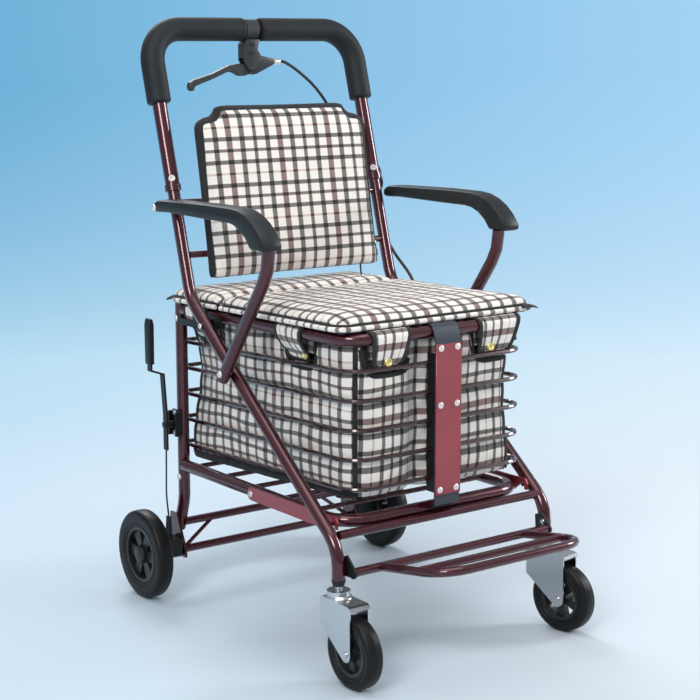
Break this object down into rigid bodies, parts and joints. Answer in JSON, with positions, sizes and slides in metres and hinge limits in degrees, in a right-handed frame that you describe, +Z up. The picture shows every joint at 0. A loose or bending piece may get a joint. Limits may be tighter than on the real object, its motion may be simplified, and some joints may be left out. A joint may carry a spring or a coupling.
{
  "type": "folding shopping walker",
  "caption": "Four-wheeled folding walker with a padded seat and backrest, a rail basket with a cloth bag, a footrest and hand and parking brakes.",
  "frame": {"origin": "on the floor under the middle of the overall box", "axes": "+Z up, -Y to the front (footrest side), +X to the right-hand side of someone who looks at the front of the seat"},
  "size_m": [0.493, 0.6973, 0.9064],
  "materials": {
    "burgundy_paint": "metallic burgundy powder coat, satin gloss",
    "rose_paint": "metallic rose paint, satin",
    "black_paint": "black paint, semi-gloss",
    "zinc": "bright zinc plate",
    "black_plastic": "moulded black plastic, fine grain",
    "grip_rubber": "dark foam rubber, satin",
    "tyre_rubber": "solid rubber, matt",
    "check_cloth": "woven check cloth in cream, black and red, black binding",
    "seat_board": "black board",
    "cable_jacket": "black cable jacket"
  },
  "bodies": {
    "root": {"rear_frame": "burgundy_paint", "floor_frame": "burgundy_paint", "seat_frame": "burgundy_paint", "basket_rail_1": "burgundy_paint", "basket_rail_2": "burgundy_paint", "basket_rail_3": "burgundy_paint", "basket_rail_4": "burgundy_paint", "basket_rail_5": "burgundy_paint", "front_plate": "rose_paint", "front_backing": "black_paint", "shopping_bag": "check_cloth", "seat_board_rear": "seat_board", "seat_cushion_rear": "check_cloth", "side_bracket_left": "black_paint", "side_bracket_right": "black_paint", "parking_bracket": "black_paint", "wheel_brake_left": "black_paint", "wheel_brake_right": "black_paint", "axle_left": "zinc", "axle_right": "zinc", "parking_cable": "cable_jacket", "brake_cable_lower": "cable_jacket"},
    "main_frame": {"side_tube_left": "burgundy_paint", "side_tube_right": "burgundy_paint", "armrest_tube_left": "burgundy_paint", "armrest_tube_right": "burgundy_paint", "armrest_pad_left": "black_plastic", "armrest_pad_right": "black_plastic", "backrest_bar_lower": "burgundy_paint", "backrest_bar_upper": "burgundy_paint", "backrest_cushion": "check_cloth", "front_crossbar": "burgundy_paint", "footrest_bracket_left": "black_paint", "footrest_bracket_right": "black_paint", "caster_socket_left": "black_plastic", "caster_socket_right": "black_plastic"},
    "handle": {"handle_tube": "burgundy_paint", "handle_grip_left": "grip_rubber", "handle_grip_right": "grip_rubber", "brake_clamp": "black_paint", "brake_cable_upper": "cable_jacket"},
    "brake_lever": {"brake_lever": "black_paint"},
    "parking_lever": {"parking_lever": "black_paint", "parking_grip": "black_plastic"},
    "seat_lid": {"seat_board_front": "seat_board", "seat_cushion_front": "check_cloth"},
    "footrest": {"footrest": "burgundy_paint"},
    "stay_left": {"side_stay_left": "rose_paint"},
    "stay_right": {"side_stay_right": "rose_paint"},
    "caster_left": {"caster_fork_left": "zinc"},
    "caster_right": {"caster_fork_right": "zinc"},
    "caster_wheel_left": {"caster_hub_left": "black_plastic", "caster_tyre_left": "tyre_rubber"},
    "caster_wheel_right": {"caster_hub_right": "black_plastic", "caster_tyre_right": "tyre_rubber"},
    "rear_wheel_left": {"rear_hub_left": "black_plastic", "rear_tyre_left": "tyre_rubber"},
    "rear_wheel_right": {"rear_hub_right": "black_plastic", "rear_tyre_right": "tyre_rubber"}
  },
  "joints": [
    {"name": "frame_fold", "type": "hinge", "parent": "root", "child": "main_frame", "pos_m": [0, 0.1507, 0.45051], "axis": [1, 0, 0], "range_deg": [0, 50], "deforming": ["brake_cable_lower"]},
    {"name": "handle_slide", "type": "slide", "parent": "main_frame", "child": "handle", "axis": [0, 0.2776, 0.9607], "range_m": [0, 0.1], "deforming": ["brake_cable_upper"]},
    {"name": "brake_lever", "type": "hinge", "parent": "handle", "child": "brake_lever", "pos_m": [-0.0075, 0.31053, 0.8262], "axis": [0, 1, 0], "range_deg": [0, 25], "stiffness_Nm_per_rad": 0.6, "springref_deg": -14.32},
    {"name": "parking_lever", "type": "hinge", "parent": "root", "child": "parking_lever", "pos_m": [-0.1912, 0.2787, 0.274], "axis": [-1, 0, 0], "range_deg": [0, 35], "deforming": ["parking_cable"]},
    {"name": "seat_lid", "type": "hinge", "parent": "root", "child": "seat_lid", "pos_m": [0, 0.1477, 0.489], "axis": [1, 0, 0], "range_deg": [-95, 0]},
    {"name": "footrest_fold", "type": "hinge", "parent": "main_frame", "child": "footrest", "pos_m": [0, -0.2063, 0.156], "axis": [1, 0, 0], "range_deg": [-78, 0]},
    {"name": "stay_left", "type": "hinge", "parent": "root", "child": "stay_left", "pos_m": [-0.1755, 0.0537, 0.20906], "axis": [-1, 0, 0], "range_deg": [0, 45]},
    {"name": "stay_right", "type": "hinge", "parent": "root", "child": "stay_right", "pos_m": [0.1755, 0.0537, 0.20906], "axis": [-1, 0, 0], "range_deg": [0, 45]},
    {"name": "caster_swivel_left", "type": "hinge", "parent": "main_frame", "child": "caster_left", "pos_m": [-0.1908, -0.1883, 0.12], "axis": [0, 0, 1], "continuous": true},
    {"name": "caster_swivel_right", "type": "hinge", "parent": "main_frame", "child": "caster_right", "pos_m": [0.1908, -0.1883, 0.12], "axis": [0, 0, 1], "continuous": true},
    {"name": "caster_spin_left", "type": "hinge", "parent": "caster_left", "child": "caster_wheel_left", "pos_m": [-0.1908, -0.2263, 0.0508], "axis": [1, 0, 0], "continuous": true},
    {"name": "caster_spin_right", "type": "hinge", "parent": "caster_right", "child": "caster_wheel_right", "pos_m": [0.1974, -0.22572, 0.0508], "axis": [0.9848, 0.1736, 0], "continuous": true},
    {"name": "rear_spin_left", "type": "hinge", "parent": "root", "child": "rear_wheel_left", "pos_m": [-0.2324, 0.2787, 0.07], "axis": [1, 0, 0], "continuous": true},
    {"name": "rear_spin_right", "type": "hinge", "parent": "root", "child": "rear_wheel_right", "pos_m": [0.2324, 0.2787, 0.07], "axis": [1, 0, 0], "continuous": true}
  ]
}
